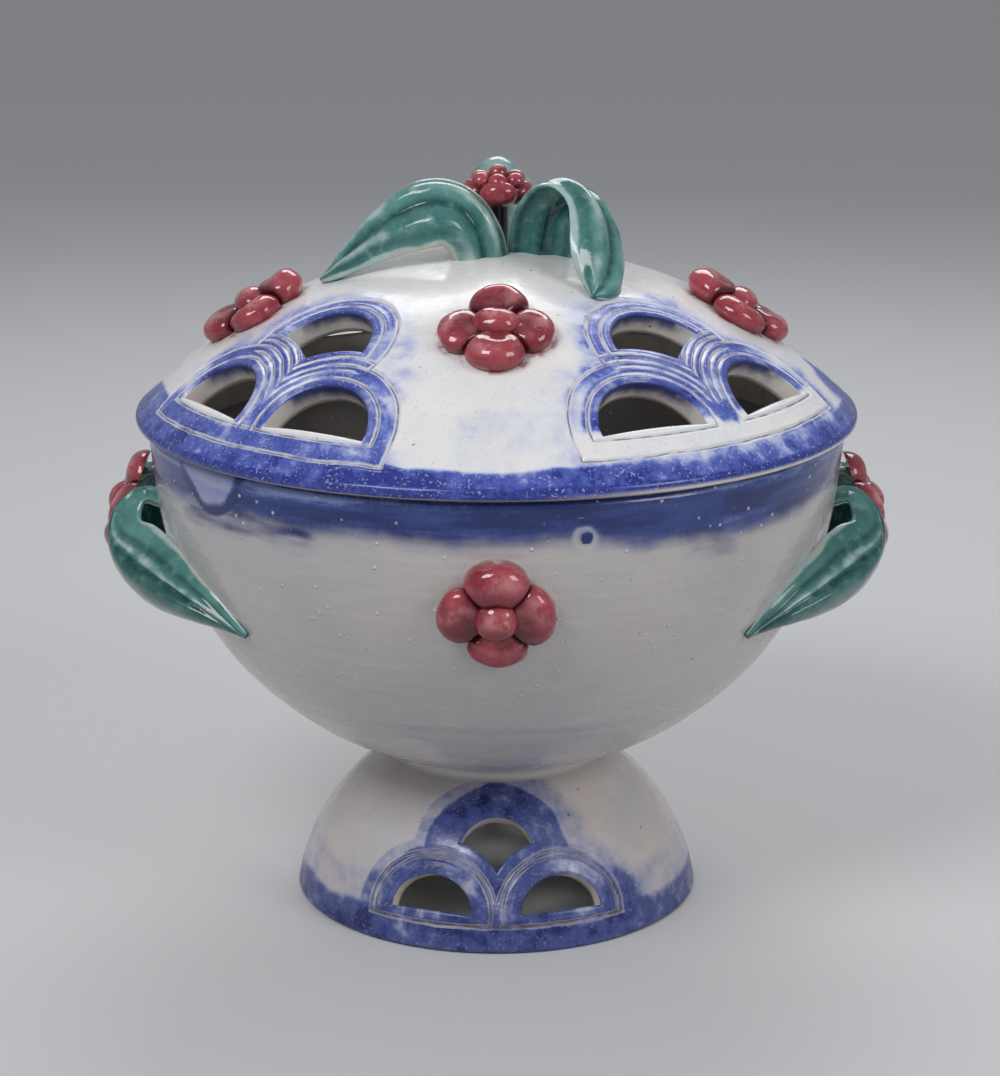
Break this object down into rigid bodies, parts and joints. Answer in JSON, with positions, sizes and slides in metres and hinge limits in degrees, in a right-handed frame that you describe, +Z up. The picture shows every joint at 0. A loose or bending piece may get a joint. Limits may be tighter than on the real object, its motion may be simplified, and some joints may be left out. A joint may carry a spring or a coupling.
{
  "type": "potpourri vase",
  "caption": "Round glazed pottery bowl on a pierced dome foot, with side handles of leaves and flowers and a pierced domed lid lifted by a knob of leaves.",
  "frame": {"origin": "middle of the foot's underside, on the table", "axes": "+Z up along the axis of bowl and lid, -Y towards the front, X through both handles"},
  "size_m": [0.2674, 0.2462, 0.25],
  "materials": {
    "lid_glaze": "glossy white glaze with brushed cobalt bands and arches",
    "bowl_glaze": "glossy greyish white glaze with a brushed cobalt band below the rim",
    "foot_glaze": "glossy white glaze with brushed cobalt band and arches",
    "leaf_glaze": "glossy green glaze, paler on the ridges",
    "flower_glaze": "glossy crimson glaze, darker in the creases"
  },
  "bodies": {
    "vase": {"foot": "foot_glaze", "bowl": "bowl_glaze", "bowl_flower_front_petals": "flower_glaze", "bowl_flower_front_bead": "flower_glaze", "bowl_flower_back_petals": "flower_glaze", "bowl_flower_back_bead": "flower_glaze", "handle_left_leaf_front": "leaf_glaze", "handle_left_leaf_back": "leaf_glaze", "handle_left_petals": "flower_glaze", "handle_left_bead": "flower_glaze", "handle_right_leaf_front": "leaf_glaze", "handle_right_leaf_back": "leaf_glaze", "handle_right_petals": "flower_glaze", "handle_right_bead": "flower_glaze"},
    "lid": {"lid": "lid_glaze", "lid_flower_front_petals": "flower_glaze", "lid_flower_front_bead": "flower_glaze", "lid_flower_right_petals": "flower_glaze", "lid_flower_right_bead": "flower_glaze", "lid_flower_back_petals": "flower_glaze", "lid_flower_back_bead": "flower_glaze", "lid_flower_left_petals": "flower_glaze", "lid_flower_left_bead": "flower_glaze", "knob_leaf_left": "leaf_glaze", "knob_leaf_right": "leaf_glaze", "knob_leaf_back": "leaf_glaze", "knob_stalk": "flower_glaze", "knob_petals": "flower_glaze", "knob_berries": "flower_glaze"}
  },
  "joints": [
    {"name": "lid_lift", "type": "slide", "parent": "vase", "child": "lid", "axis": [0, 0, 1], "range_m": [0, 0.15]}
  ]
}
